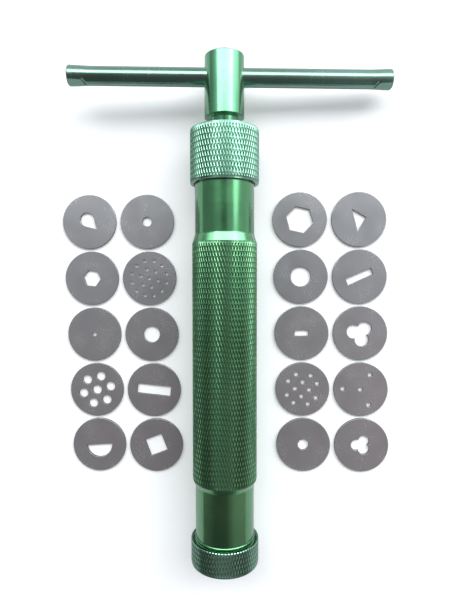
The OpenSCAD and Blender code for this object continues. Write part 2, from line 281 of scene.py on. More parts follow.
knurl = knurl_tree()
thread = thread_tree()


def settled_mesh(piece):
    """The plain mesh that an object with its modifiers, or a curve, comes to."""
    ready = piece.evaluated_get(bpy.context.evaluated_depsgraph_get())
    return bpy.data.meshes.new_from_object(ready)


def cut_sleeve(piece, tree, finish, span, counts, **sizes):
    """Runs a sleeve tree on a turned piece, between two stations, and keeps the result as a plain mesh."""
    values = {label.replace("_", " ").title(): size * mm for label, size in sizes.items()}
    values["Front"] = nose_y + span[0] * mm
    values["Length"] = (span[1] - span[0]) * mm
    values["Axis Height"] = axis_z
    values["Finish"] = finish
    values.update(counts)
    work = piece.modifiers.new("sleeve", "NODES")
    work.node_group = tree
    for item in tree.interface.items_tree:
        if item.in_out == "INPUT" and item.socket_type != "NodeSocketGeometry":
            work[item.identifier] = values[item.name]
    piece.data = settled_mesh(piece)
    piece.modifiers.remove(work)


def finish_piece(piece, body, slot, finish, *nodes, crease=32):
    """Smooth where a surface is round and sharp at its edges, set on its body in place of its solid."""
    same_place = 0.001 * mm
    no_length = 0.0005 * mm
    shape = bmesh.new()
    shape.from_mesh(piece.data)
    bmesh.ops.remove_doubles(shape, verts=shape.verts, dist=same_place)
    bmesh.ops.dissolve_degenerate(shape, edges=shape.edges, dist=no_length)
    bmesh.ops.holes_fill(shape, edges=[edge for edge in shape.edges if edge.is_boundary])
    for face in shape.faces:
        face.material_index = 0
    shape.to_mesh(piece.data)
    shape.free()
    piece.data.materials.clear()
    piece.data.materials.append(finish)
    piece.data.set_sharp_from_angle(angle=math.radians(crease))
    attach(piece, body)
    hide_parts(*nodes)


def shader_group(name, inputs, outputs):
    """An empty shader node group with number inputs, and the values that it puts out."""
    tree = bpy.data.node_groups.new(name, "ShaderNodeTree")
    for label, value in inputs.items():
        place = tree.interface.new_socket(label, in_out="INPUT", socket_type="NodeSocketFloat")
        place.default_value = value
    for label in outputs:
        tree.interface.new_socket(label, in_out="OUTPUT", socket_type="NodeSocketFloat")
    return tree, add_node(tree, "NodeGroupInput").outputs, add_node(tree, "NodeGroupOutput").inputs


def stretched(tree, value, from_low, from_high, to_low, to_high):
    """Maps a value from one range to another, held at its ends."""
    made = add_node(tree, "ShaderNodeMapRange", clamp=True)
    labels = ("Value", "From Min", "From Max", "To Min", "To Max")
    for label, term in zip(labels, (value, from_low, from_high, to_low, to_high)):
        feed(tree, made.inputs[label], term)
    return made.outputs["Result"]


def cloud(tree, where, scale, detail=3.0, rough=0.55):
    """Soft random patches, from 0 to 1 about a middle of a half."""
    made = add_node(tree, "ShaderNodeTexNoise")
    for label, value in (("Vector", where), ("Scale", scale), ("Detail", detail), ("Roughness", rough)):
        feed(tree, made.inputs[label], value)
    return made.outputs["Fac"]


def lathe_marks_group():
    """Fine rings that the lathe leaves: they change only along the turning axis."""
    settings = {"Along": 0.0, "Lines per Metre": 9000.0}
    tree, given, made = shader_group("lathe marks", settings, ("Height", "Streak"))
    along = calc(tree, "MULTIPLY", given["Along"], given["Lines per Metre"])
    lines = []
    for spacing, detail in ((1.0, 2.0), (0.11, 1.0)):
        texture = add_node(tree, "ShaderNodeTexNoise", noise_dimensions="1D")
        for label, value in (("W", along), ("Scale", spacing), ("Detail", detail)):
            feed(tree, texture.inputs[label], value)
        lines.append(texture.outputs["Fac"])
    tree.links.new(lines[0], made["Height"])
    tree.links.new(calc(tree, "MULTIPLY", *lines), made["Streak"])
    return tree


def crest_and_valley_masks_group():
    """Masks of where the surface stands out, broken up at random, and where it is cut in. The finishes
    use them for wear and painted highlight on crests, and for soiling and painted shade in hollows.
    """
    tree, given, made = shader_group("crest and valley masks", {"Breakup": 900.0}, ("Crest", "Valley"))
    bend = add_node(tree, "ShaderNodeNewGeometry").outputs["Pointiness"]
    place = add_node(tree, "ShaderNodeTexCoord").outputs["Object"]
    uneven = stretched(tree, cloud(tree, place, given["Breakup"], detail=2.0), 0.3, 0.7, 0.5, 1.0)
    standing_out = stretched(tree, bend, 0.505, 0.6, 0.0, 1.0)
    tree.links.new(calc(tree, "MULTIPLY", standing_out, uneven), made["Crest"])
    tree.links.new(stretched(tree, bend, 0.495, 0.4, 0.0, 1.0), made["Valley"])
    return tree


lathe_marks = lathe_marks_group()
crest_and_valley_masks = crest_and_valley_masks_group()


def use_group(tree, group, **values):
    """Places a shader group in a material, with its own values."""
    made = add_node(tree, "ShaderNodeGroup", node_tree=group)
    for label, value in values.items():
        place = next(s for s in made.inputs if s.name.lower() == label.replace("_", " "))
        feed(tree, place, value)
    return made.outputs


def turning_marks(tree, place, axis, lines):
    """The lathe's marks along one of the axes, with so many lines to a metre."""
    apart = add_node(tree, "ShaderNodeSeparateXYZ")
    tree.links.new(place, apart.inputs[0])
    return use_group(tree, lathe_marks, along=apart.outputs[axis], lines_per_metre=lines)


def blended(tree, share, first, second):
    """One colour turning into another. A colour is three linear numbers or a socket."""
    made = add_node(tree, "ShaderNodeMix", data_type="RGBA")
    tree.links.new(share, made.inputs["Factor"])
    for label, value in (("A", first), ("B", second)):
        place = next(s for s in made.inputs if s.name == label and s.type == "RGBA")
        feed(tree, place, value)
    return next(s for s in made.outputs if s.type == "RGBA")


def new_finish(name, metallic):
    """A material with its Principled shader and the object's own coordinates."""
    made = bpy.data.materials.new(name)
    made.use_nodes = True
    tree = made.node_tree
    shader = tree.nodes["Principled BSDF"]
    shader.inputs["Metallic"].default_value = metallic
    return made, tree, shader, add_node(tree, "ShaderNodeTexCoord").outputs["Object"]


def bumped(tree, shader, height, strength, distance):
    """Sets a height on the shader's normal. The distance is in mm."""
    made = add_node(tree, "ShaderNodeBump")
    for label, value in (("Strength", strength), ("Distance", distance * mm), ("Height", height)):
        feed(tree, made.inputs[label], value)
    tree.links.new(made.outputs["Normal"], shader.inputs["Normal"])


def anodised_green(name, deep, clear, crest_pale, dark, rough, cut_dirt_and_shade, axis="Y"):
    """Dyed anodised aluminium: the dye varies a little. Crests turn to pale metal, partly wear and partly
    painted highlight, and cuts and hollows are painted darker with painted shade and some soiling. Axis is
    the one the piece was turned on."""
    crest_wear_and_highlight = 0.5
    valley_dirt_and_shade = 0.6
    streak_rough = 0.1
    coat_smoother = 0.03
    smudge_smoother = 0.04
    smudge_rougher = 0.05
    made, tree, shader, place = new_finish(name, metallic=1.0)
    marks = turning_marks(tree, place, axis, 7000.0)
    edges = use_group(tree, crest_and_valley_masks, breakup=700.0)
    dye = stretched(tree, cloud(tree, place, 60.0, detail=4.0), 0.35, 0.65, 0.0, 1.0)
    colour = blended(tree, dye, deep, clear)
    # Crests turn towards pale metal: partly wear, partly a painted highlight.
    colour = blended(tree, calc(tree, "MULTIPLY", edges["Crest"], crest_wear_and_highlight), colour, crest_pale)
    # Painted shade with some soiling: the bottoms of the cuts and the hollows are painted darker.
    cut = add_node(tree, "ShaderNodeAttribute", attribute_name="cut").outputs["Fac"]
    dirt_and_shade = calc(tree, "MULTIPLY", stretched(tree, cut, 0.45, 1.0, 0.0, 1.0), cut_dirt_and_shade)
    dirt_and_shade = calc(tree, "MAXIMUM", dirt_and_shade, calc(tree, "MULTIPLY", edges["Valley"], valley_dirt_and_shade))
    colour = blended(tree, dirt_and_shade, colour, dark)
    tree.links.new(colour, shader.inputs["Base Color"])
    shader.inputs["Coat Weight"].default_value = 1.0
    shader.inputs["Coat IOR"].default_value = 1.6
    shader.inputs["Coat Roughness"].default_value = rough - coat_smoother
    smudge = cloud(tree, place, 180.0, detail=5.0)
    smudge = stretched(tree, smudge, 0.3, 0.7, rough - smudge_smoother, rough + smudge_rougher)
    streaky = calc(tree, "MULTIPLY_ADD", marks["Streak"], streak_rough, smudge)
    tree.links.new(streaky, shader.inputs["Roughness"])
    bumped(tree, shader, marks["Height"], strength=0.2, distance=0.015)
    return made


green_barrel = anodised_green(
    "green_anodised_barrel",
    deep=(0.088, 0.345, 0.134),
    clear=(0.12, 0.405, 0.168),
    crest_pale=(0.46, 0.70, 0.54),
    dark=(0.01, 0.05, 0.018),
    rough=0.16,
    cut_dirt_and_shade=1.0,
)

barrel_columns = columns_a_tooth * grip_teeth
thread_root = cap_thread_r - cap_thread_depth
grip_root = grip_r - knurl_depth
barrel = turned_mesh("barrel_turned", barrel_columns, [
    [
        (bore_r, barrel_front),
        (thread_root, barrel_front),
        (thread_root, front_thread[0]),
    ],
    [
        (thread_root, front_thread[1]),
        (cap_thread_r, front_thread[1] + thread_run_out),
        (cap_thread_r, front_land_end),
        (cap_thread_r - land_edge, front_land_end + land_edge_l),
        (shank_r, front_land_end + land_foot_l),
        (shank_r, front_taper_at - front_taper_ease[0]),
        (shank_r + taper_foot, front_taper_at + front_taper_ease[1]),
        (grip_root, grip_knurl[0]),
    ],
    [
        (grip_root, grip_knurl[1]),
        (shank_r + taper_foot, rear_taper_end - rear_taper_ease[0]),
        (shank_r, rear_taper_end + rear_taper_ease[1]),
        (shank_r, rear_thread[0] - thread_run_out),
        (shank_r - shank_edge, rear_thread[0] - shank_edge),
        (thread_root, rear_thread[0]),
    ],
    [
        (thread_root, rear_thread[1]),
        (thread_root, barrel_rear),
        (bore_r, barrel_rear),
        (bore_r, barrel_front),
    ],
])
cut_sleeve(
    barrel, knurl, green_barrel, grip_knurl,
    {"Teeth": grip_teeth, "Rows": grip_rows, "Rear Open": 0},
    crest_radius=grip_r, cut_depth=knurl_depth,
)
for span in (front_thread, rear_thread):
    turns = math.ceil((span[1] - span[0]) / cap_thread_pitch)
    cut_sleeve(
        barrel, thread, green_barrel, span,
        {"Columns": barrel_columns, "Turns": turns},
        crest_radius=cap_thread_r, cut_depth=cap_thread_depth,
        pitch=cap_thread_pitch, crest_width=cap_thread_crest,
    )
finish_piece(barrel, "barrel", "anodised_green", green_barrel, "barrel", crease=12)


# Washers under the caps
# Thin flat rings of pale nylon, one at each end of the barrel. They seal the joint and let each cap turn
# as it is tightened.
def patches(tree, where, scale, detail):
    """Random patches that reach from 0 to 1."""
    return stretched(tree, cloud(tree, where, scale, detail=detail), 0.3, 0.7, 0.0, 1.0)


def even_finish(name, metallic, colours, rough, patch_scale, grain_scale, strength, distance, detail=4.0):
    """A nearly even surface: two close colours and two roughnesses in soft patches, over a fine grain."""
    made, tree, shader, place = new_finish(name, metallic)
    haze = patches(tree, place, patch_scale, detail)
    tree.links.new(blended(tree, haze, *colours), shader.inputs["Base Color"])
    tree.links.new(stretched(tree, haze, 0.0, 1.0, *rough), shader.inputs["Roughness"])
    bumped(tree, shader, cloud(tree, place, grain_scale), strength, distance)
    return made


def refinish(node, finish):
    """Gives a solid that stays as it is its full material."""
    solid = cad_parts[node]
    solid.data.materials.clear()
    solid.data.materials.append(finish)


nylon = even_finish(
    "nylon",
    metallic=0.0,
    colours=((0.62, 0.60, 0.53), (0.72, 0.71, 0.65)),
    rough=(0.42, 0.55),
    patch_scale=400.0,
    grain_scale=2500.0,
    strength=0.15,
    distance=0.02,
)
for washer in ("front_seal", "rear_seal"):
    refinish(washer, nylon)


# Front cap
# A short aluminium cap, knurled to its open rim and threaded inside. Its lip holds a die disc against
# the end of the barrel, and its mouth lets the clay out.
cap_r = 11.3
cap_root = cap_r - knurl_depth
cap_bore_r = 10.1
cap_teeth = 70
cap_columns = columns_a_tooth * cap_teeth
cap_edge = 0.4
cap_groove = 0.35
mouth_r = 7.8
mouth_edge = 0.15
lip_inside = 1.6
lip_relief = 0.4
front_cap_rim = 8.3
front_cap_rows = 5
rim_land = 0.23
front_cap_knurl = (0.1, front_cap_rim - rim_land)
rim_chamfer = 0.65
rim_to_thread = 0.8


def inside_thread(front, rear, bore, pitch, depth):
    """Points of the grooves of a thread inside a bore, from its rear to its front."""
    crest = 0.2 * pitch
    to_root = 0.6 * pitch
    points = []
    for i in range(int((rear - front) / pitch)):
        start = rear - i * pitch
        points += [(bore, start), (bore, start - crest), (bore + depth, start - to_root)]
    return points


green_caps = anodised_green(
    "green_anodised_caps",
    deep=(0.15, 0.385, 0.25),
    clear=(0.19, 0.45, 0.30),
    crest_pale=(0.52, 0.73, 0.64),
    dark=(0.008, 0.045, 0.022),
    rough=0.17,
    cut_dirt_and_shade=0.85,
)
front_grooves = inside_thread(
    lip_inside + lip_relief,
    front_cap_rim - rim_to_thread,
    cap_bore_r,
    cap_thread_pitch,
    cap_groove,
)
front_cap = turned_mesh("front_cap_knurled", cap_columns, [[
    ((cap_root, cap_r, cap_r, cap_r), front_cap_knurl[1]),
    (cap_root, front_cap_rim),
    (cap_bore_r, front_cap_rim - rim_chamfer),
    *front_grooves,
    (cap_bore_r, lip_inside),
    (mouth_r, lip_inside),
    (mouth_r, mouth_edge),
    (mouth_r + mouth_edge, 0),
    (cap_r - cap_edge, 0),
    (cap_root, front_cap_knurl[0]),
]])
cut_sleeve(
    front_cap, knurl, green_caps, front_cap_knurl,
    {"Teeth": cap_teeth, "Rows": front_cap_rows, "Rear Open": 1},
    crest_radius=cap_r, cut_depth=knurl_depth,
)
finish_piece(front_cap, "front_cap", "anodised_green", green_caps, "front_cap", crease=12)


# Rear cap
# A longer aluminium cap with the same knurl, screwed on to the thread at the rear of the barrel. Its thick
# end wall is the nut for the drive screw.
rear_cap_mouth = 125.7
rear_cap_floor = 137.1
rear_cap_end = 143.1
rear_cap_rows = 10
rear_cap_knurl = (125.72, 143.05)
mouth_to_thread = 1.2
floor_to_thread = 0.6
rear_mouth_edge = 0.15
screw_hole_r = 5.1
screw_hole_edge = 0.45

rear_grooves = inside_thread(
    rear_cap_mouth + mouth_to_thread,
    rear_cap_floor - floor_to_thread,
    cap_bore_r,
    cap_thread_pitch,
    cap_groove,
)
rear_cap = turned_mesh("rear_cap_knurled", cap_columns, [[
    (cap_root, rear_cap_knurl[1]),
    (cap_r - cap_edge, rear_cap_end),
    (screw_hole_r + screw_hole_edge, rear_cap_end),
    (screw_hole_r, rear_cap_end - screw_hole_edge),
    (screw_hole_r, rear_cap_floor),
    (cap_bore_r, rear_cap_floor),
    *rear_grooves,
    (cap_bore_r, rear_cap_mouth),
    (cap_bore_r + rear_mouth_edge, rear_cap_mouth),
    (cap_root, rear_cap_knurl[0]),
]])
cut_sleeve(
    rear_cap, knurl, green_caps, rear_cap_knurl,
    {"Teeth": cap_teeth, "Rows": rear_cap_rows, "Rear Open": 0},
    crest_radius=cap_r, cut_depth=knurl_depth,
)
finish_piece(rear_cap, "rear_cap", "anodised_green", green_caps, "rear_cap", crease=12)


# Piston
# A plain turned alloy plunger that swivels on the end of the screw, with a rubber ring in its groove.
# A steel washer and a socket-head screw in its face hold it on.
def alloy_finish():
    """Bare turned alloy, a little uneven in tone, with the lathe's rings."""
    plain_rough = 0.25
    streak_rough = 0.25
    made, tree, shader, place = new_finish("bare_alloy", metallic=1.0)
    marks = turning_marks(tree, place, "Y", 6000.0)
    haze = patches(tree, place, 220.0, detail=4.0)
    colour = blended(tree, haze, (0.55, 0.56, 0.57), (0.68, 0.69, 0.69))
    tree.links.new(colour, shader.inputs["Base Color"])
    streaky = calc(tree, "MULTIPLY_ADD", marks["Streak"], streak_rough, plain_rough)
    tree.links.new(streaky, shader.inputs["Roughness"])
    bumped(tree, shader, marks["Height"], strength=0.3, distance=0.02)
    return made


rubber = even_finish(
    "rubber",
    metallic=0.0,
    colours=((0.012, 0.012, 0.013), (0.03, 0.03, 0.031)),
    rough=(0.45, 0.65),
    patch_scale=900.0,
    grain_scale=4000.0,
    strength=0.2,
    distance=0.02,
)
plated = even_finish(
    "zinc_plated",
    metallic=1.0,
    colours=((0.44, 0.46, 0.49), (0.60, 0.62, 0.64)),
    rough=(0.25, 0.4),
    patch_scale=700.0,
    grain_scale=3000.0,
    strength=0.1,
    distance=0.01,
    detail=3.0,
)
refinish("piston", alloy_finish())
refinish("piston_ring", rubber)
for fixing in ("piston_washer", "piston_screw"):
    refinish(fixing, plated)


# Drive screw
# One aluminium bar: a spigot for the piston, a coarse thread for most of its length, a plain neck and a
# round head with a cross hole, all anodised with the barrel.
screw_r = 5.0
screw_root = 4.1
screw_pitch = 2.0
screw_crest = 0.72
screw_thread = (18.6, 139.1)
screw_columns = 64
spigot_r = 3.5
spigot_end = 10.2
spigot_shoulder = 17.1
spigot_edge = 0.2
pin_hole_r = 2.1
pin_hole_end = 19.2
neck_r = 4.75
neck_relief = 0.32
neck_run_out = 0.4
neck_shoulder = 146.6
neck_fillet = 0.2
relief_inside_cap = 0.2
head_r = 6.5
head_front = 147.2
head_edge = 0.15
head_edge_round = 0.04
head_end = 167.0
head_end_edge = (0.3, 0.35)
head_end_round = (0.08, 0.15)
bar_station = 160.3
bar_hole_r = 3.1
drill_columns = 72
handle_turn = math.radians(3.4)

green_screw = anodised_green(
    "green_anodised_screw",
    deep=(0.088, 0.35, 0.158),
    clear=(0.11, 0.405, 0.186),
    crest_pale=(0.48, 0.72, 0.58),
    dark=(0.012, 0.06, 0.025),
    rough=0.16,
    cut_dirt_and_shade=0.6,
)
drive_screw = turned_mesh("drive_screw_turned", screw_columns, [
    [
        (0, pin_hole_end),
        (pin_hole_r, pin_hole_end),
        (pin_hole_r, spigot_end),
        (spigot_r - spigot_edge, spigot_end),
        (spigot_r, spigot_end + spigot_edge),
        (spigot_r, spigot_shoulder),
        (screw_root, spigot_shoulder),
        (screw_root, screw_thread[0]),
    ],
    [
        (screw_root, screw_thread[1]),
        (neck_r - neck_relief, screw_thread[1] + neck_run_out),
        (neck_r - neck_relief, rear_cap_end - relief_inside_cap),
        (neck_r, neck_shoulder),
        (neck_r, head_front - neck_fillet),
        (neck_r + neck_fillet, head_front),
        (head_r - head_edge, head_front),
        (head_r - head_edge_round, head_front + head_edge_round),
        (head_r, head_front + head_edge),
        (head_r, head_end - head_end_edge[1]),
        (head_r - head_end_round[0], head_end - head_end_round[1]),
        (head_r - head_end_edge[0], head_end),
        (0, head_end),
    ],
])
screw_turns = math.ceil((screw_thread[1] - screw_thread[0]) / screw_pitch)
cut_sleeve(
    drive_screw, thread, green_screw, screw_thread,
    {"Columns": screw_columns, "Turns": screw_turns},
    crest_radius=screw_r, cut_depth=screw_r - screw_root,
    pitch=screw_pitch, crest_width=screw_crest,
)

bar_along = Vector((math.cos(handle_turn), 0, -math.sin(handle_turn)))
bar_up = Vector((math.sin(handle_turn), 0, math.cos(handle_turn)))
bar_side = Vector((0, 1, 0))
bar_middle = Vector((0, nose_y + bar_station * mm, axis_z))


def crosswise_mesh(name, columns, profile, dent=None):
    """A piece turned round the line of the cross bar, from (radius, distance) pairs in mm, with poles at
    both ends. Dent gives how far a point is pressed in, in mm, and how much it is darkened."""
    shape = bmesh.new()
    darkening = shape.verts.layers.float.new("cut")
    rings = []
    for radius, distance in profile:
        centre = bar_middle + bar_along * (distance * mm)
        ring = []
        for k in range(columns if radius else 1):
            angle = math.tau * k / columns
            pressed, darkened = dent(radius, distance, angle) if dent and radius else (0, 0)
            outward = bar_up * math.cos(angle) + bar_side * math.sin(angle)
            point = shape.verts.new(centre + outward * ((radius - pressed) * mm))
            point[darkening] = darkened
            ring.append(point)
        rings.append(ring)
    for lower, upper in zip(rings, rings[1:]):
        for k in range(columns):
            near = [ring[k % len(ring)] for ring in (lower, upper)]
            after = [ring[(k + 1) % len(ring)] for ring in (lower, upper)]
            corners = (near[0], after[0], after[1], near[1])
            shape.faces.new(list(dict.fromkeys(corners)))
    bmesh.ops.recalc_face_normals(shape, faces=shape.faces)
    mesh = bpy.data.meshes.new(name)
    shape.to_mesh(mesh)
    shape.free()
    return put_in_scene(name, mesh)


drill_spare = 2
past_head = head_r + drill_spare
drill = crosswise_mesh("cross_drill", drill_columns, [
    (0, -past_head),
    (bar_hole_r, -past_head),
    (bar_hole_r, past_head),
    (0, past_head),
])
drilled = drive_screw.modifiers.new("cross hole", "BOOLEAN")
drilled.operation = "DIFFERENCE"
drilled.solver = "EXACT"
drilled.object = drill
drive_screw.data = settled_mesh(drive_screw)
drive_screw.modifiers.remove(drilled)
bpy.data.objects.remove(drill)
finish_piece(drive_screw, "screw", "anodised_green", green_screw, "drive_screw")


# Tommy bar
# A plain round aluminium bar pushed through the head. Each end is struck flat on one side, which flares
# it so that it can't fall out and leaves a slanting nick where the flat stops.
bar_r = 3.0
bar_half = 52.7
bar_shift = 2.3
bar_columns = 96
bar_edge = 0.4
bar_edge_round = (0.1, 0.25)
flare_r = 3.25
flare_l = 7.28
flare_steps = 84
flat_r = 2.9
flat_lean = 62
flat_reach = 45
nick_from_end = 5.4
nick_slant = 0.026
nick_depth = 0.3
nick_half = 0.5
nick_reach = 30
nick_fade = 4
edge_dark_reach = 0.8


def bar_profile():
    """Radius and distance along the bar, in mm, with close steps where the ends are struck."""
    reach = bar_half - bar_edge
    left = [
        (0, -bar_half),
        (flare_r - bar_edge, -bar_half),
        (flare_r - bar_edge_round[0], -bar_half + bar_edge_round[1]),
        (flare_r, -reach),
    ]
    for i in range(1, flare_steps + 1):
        gone = i / flare_steps
        ease = gone * gone * (3 - 2 * gone)
        left.append((flare_r + (bar_r - flare_r) * ease, -reach + flare_l * gone))
    right = [(radius, -distance) for radius, distance in reversed(left)]
    return [(radius, distance + bar_shift) for radius, distance in left + right]


def struck(radius, distance, angle):
    """Depth in mm of the flat at each end, on the side towards the nose, and of the nick where it stops.
    The nick holds painted shade and some soiling, and the very edge of the end is darkened."""
    from_end = bar_half - abs(distance - bar_shift)
    at_edge = max(0, 1 - from_end / edge_dark_reach)
    lean = math.degrees(math.tau - angle)
    off = abs(lean - flat_lean)
    if off > flat_reach:
        return 0, at_edge
    nick_at = nick_from_end + nick_slant * (lean - flat_lean)
    flat = max(0, radius - flat_r / math.cos(math.radians(off))) if from_end < nick_at else 0
    along_nick = max(0, 1 - (off / nick_reach) ** nick_fade)
    # The nick is painted darker: painted shade, with some soiling.
    nick = nick_depth * max(0, 1 - abs(from_end - nick_at) / nick_half) * along_nick
    return max(flat, nick), max(at_edge, nick / nick_depth)


green_bar = anodised_green(
    "green_anodised_bar",
    deep=(0.17, 0.33, 0.25),
    clear=(0.21, 0.39, 0.30),
    crest_pale=(0.48, 0.66, 0.58),
    dark=(0.015, 0.06, 0.03),
    rough=0.21,
    cut_dirt_and_shade=0.9,
    axis="X",
)
tommy_bar = crosswise_mesh("tommy_bar_turned", bar_columns, bar_profile(), dent=struck)
finish_piece(tommy_bar, "bar", "anodised_green", green_bar, "tommy_bar", crease=40)


# Die discs
# Twenty loose steel discs, stamped from sheet and tumbled so that every edge is slightly round and the
# faces are cloudy and finely scratched. Each has its own opening for one shape of clay.
die_r = 9.5
die_thickness = 1.0
die_edge = 0.12


def arc(radius, centre=(0, 0), start=0.0, end=360.0, step=7.5):
    """Points along an arc in mm, and a whole circle unless it is given ends."""
    count = round(abs(end - start) / step)
    whole = abs(end - start) >= 360
    points = []
    for i in range(count if whole else count + 1):
        angle = math.radians(start + (end - start) * i / count)
        points.append((centre[0] + radius * math.cos(angle), centre[1] + radius * math.sin(angle)))
    return points


def round_hole(diameter, centre=(0, 0)):
    return [arc(diameter / 2, centre)]


def ring_of_holes(count, radius, diameter):
    holes = []
    for i in range(count):
        angle = math.tau * i / count
        holes += round_hole(diameter, (radius * math.cos(angle), radius * math.sin(angle)))
    return holes


def grid_of_holes(pitch, diameter):
    """Four rows of four holes without the corner ones."""
    steps = (-1.5, -0.5, 0.5, 1.5)
    places = [(i * pitch, j * pitch) for i in steps for j in steps if abs(i) + abs(j) < 3]
    return [hole for place in places for hole in round_hole(diameter, place)]


def slot(length, width):
    x, y = length / 2, width / 2
    return [[(-x, -y), (x, -y), (x, y), (-x, y)]]


def hexagon(corners):
    return [arc(corners / 2, step=60)]


def trefoil(radius, reach):
    """Three overlapping circles: each gives the arc that lies outside its neighbours."""
    sixty = math.radians(60)
    steps_a_half = 14
    meet = math.sqrt(radius ** 2 - (reach * math.sin(sixty)) ** 2) + reach / 2
    corner = (meet * math.cos(sixty), meet * math.sin(sixty))
    half = math.degrees(math.atan2(corner[1], corner[0] - reach))
    points = []
    for turn in (0, 120, 240):
        centre = (reach * math.cos(math.radians(turn)), reach * math.sin(math.radians(turn)))
        points += arc(radius, centre, turn - half, turn + half, step=half / steps_a_half)[:-1]
    return [points]


def teardrop(radius, point):
    touch = math.degrees(math.acos(radius / point))
    back = -point / 4
    return [arc(radius, (back, 0), touch, 360 - touch) + [(back + point, 0)]]


def half_round(radius):
    return [arc(radius, (0, 0), 180, 360)]


def right_triangle(leg):
    reach = leg / math.sqrt(2)
    return [[(reach * 2 / 3, 0), (-reach / 3, reach), (-reach / 3, -reach)]]


def steel_finish():
    """Satin steel, a little cloudy from tumbling, with fine scratches that run all ways. The cut sides are
    painted dark, partly for the rough cut steel and partly as painted shade, and the rounded edges carry a
    painted highlight."""
    dull = (0.42, 0.412, 0.42)
    clean = (0.47, 0.462, 0.467)
    bright = (0.62, 0.62, 0.63)
    sheared_and_shaded = (0.14, 0.14, 0.145)
    scratch_lays = ((25.0, 90.0), (-50.0, 140.0), (80.0, 110.0))
    scratch_narrow = 0.025
    scratch_share = 0.03
    edge_highlight_share = 0.35
    plain_rough = 0.22
    cloud_rough = 0.05
    scratch_rough = 0.008
    grain_rough = 0.02
    made, tree, shader, place = new_finish("tumbled_steel", metallic=0.7)
    cloudy = stretched(tree, cloud(tree, place, 110.0, detail=4.0, rough=0.5), 0.32, 0.68, 0.0, 1.0)
    grain = patches(tree, place, 2600.0, detail=3.0)
    upright = add_node(tree, "ShaderNodeVectorTransform", vector_type="NORMAL")
    upright.convert_from = "WORLD"
    upright.convert_to = "OBJECT"
    tree.links.new(add_node(tree, "ShaderNodeNewGeometry").outputs["True Normal"], upright.inputs[0])
    leaning = add_node(tree, "ShaderNodeSeparateXYZ")
    tree.links.new(upright.outputs[0], leaning.inputs[0])
    flat = calc(tree, "ABSOLUTE", leaning.outputs["Z"])
    cut_side = stretched(tree, flat, 0.3, 0.8, 1.0, 0.0)
    off_face = stretched(tree, flat, 0.97, 0.999, 1.0, 0.0)
    scratched = 0.0
    for turn, spread in scratch_lays:
        lay = add_node(tree, "ShaderNodeMapping", vector_type="TEXTURE")
        lay.inputs["Rotation"].default_value = (0, 0, math.radians(turn))
        lay.inputs["Scale"].default_value = (1 / spread, scratch_narrow / spread, 1 / spread)
        tree.links.new(place, lay.inputs["Vector"])
        lines = stretched(tree, cloud(tree, lay.outputs[0], 1.0, detail=1.0), 0.64, 0.72, 0.0, 1.0)
        scratched = calc(tree, "MAXIMUM", lines, scratched)
    colour = blended(tree, cloudy, dull, clean)
    colour = blended(tree, calc(tree, "MULTIPLY", scratched, scratch_share), colour, bright)
    edges = use_group(tree, crest_and_valley_masks, breakup=500.0)
    # Painted highlight: the rounded edges of the faces are painted paler.
    edge_highlight = calc(tree, "MULTIPLY", calc(tree, "MULTIPLY", edges["Crest"], off_face), edge_highlight_share)
    colour = blended(tree, edge_highlight, colour, bright)
    # The sides are painted dark: partly rough cut steel, partly painted shade.
    colour = blended(tree, cut_side, colour, sheared_and_shaded)
    tree.links.new(colour, shader.inputs["Base Color"])
    rough = calc(tree, "MULTIPLY_ADD", cloudy, cloud_rough, plain_rough)
    rough = calc(tree, "MULTIPLY_ADD", scratched, scratch_rough, rough)
    rough = calc(tree, "MULTIPLY_ADD", grain, grain_rough, rough)
    tree.links.new(rough, shader.inputs["Roughness"])
    bumped(tree, shader, grain, strength=0.04, distance=0.01)
    return made


steel = steel_finish()


def die_disc(shape, turn, openings):
    """A disc with its openings, filled as a flat curve with rounded edges and made a mesh in its place on
    the table. Turn is in degrees."""
    name = "die_" + shape
    low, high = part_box(name)
    curve = bpy.data.curves.new(name, "CURVE")
    curve.dimensions = "2D"
    curve.fill_mode = "BOTH"
    curve.extrude = (die_thickness / 2 - die_edge) * mm
    curve.bevel_depth = die_edge * mm
    curve.bevel_resolution = 2
    curve.offset = -die_edge * mm
    for outline in [arc(die_r, step=3.0)] + openings:
        line = curve.splines.new("POLY")
        line.points.add(len(outline) - 1)
        line.use_cyclic_u = True
        for point, (x, y) in zip(line.points, outline):
            point.co = (x * mm, y * mm, 0, 1)
    drawn = put_in_scene(name + "_outline", curve)
    mesh = settled_mesh(drawn)
    bpy.data.objects.remove(drawn)
    middle = [(a + b) / 2 for a, b in zip(low, high)]
    mesh.transform(Matrix.Translation(middle) @ Matrix.Rotation(math.radians(turn), 4, "Z"))
    disc = put_in_scene(name + "_stamped", mesh)
    finish_piece(disc, name, "die_steel", steel, name, crease=35)
    level = 0.999
    for face in disc.data.polygons:
        face.use_smooth = abs(face.normal.z) < level


die_disc("teardrop", -45, teardrop(2.4, 4.6))
die_disc("small_hexagon", -7, hexagon(6.1))
die_disc("pinhole", 0, round_hole(1.4))
die_disc("seven_holes", 14, round_hole(3.2) + ring_of_holes(6, 5.0, 3.2))
die_disc("half_round", 4, half_round(4.5))
die_disc("small_round", 0, round_hole(3.2))
die_disc("nineteen_holes", 45, round_hole(1.0) + ring_of_holes(6, 3.2, 1.0) + ring_of_holes(12, 6.3, 1.0))
die_disc("medium_round", 0, round_hole(5.7))
die_disc("wide_slot", -6, slot(11.8, 3.4))
die_disc("square", 21, slot(6.2, 6.2))
die_disc("large_hexagon", -13, hexagon(9.6))
die_disc("large_round", 0, round_hole(6.9))
die_disc("short_slot", 1, slot(4.7, 2.0))
die_disc("twelve_holes", 40, grid_of_holes(3.6, 1.5))
die_disc("fine_round", 0, round_hole(3.8))
die_disc("triangle", 15, right_triangle(5.7))
die_disc("long_slot", 24, slot(9.5, 2.3))
die_disc("large_trefoil", 45, trefoil(2.4, 2.3))
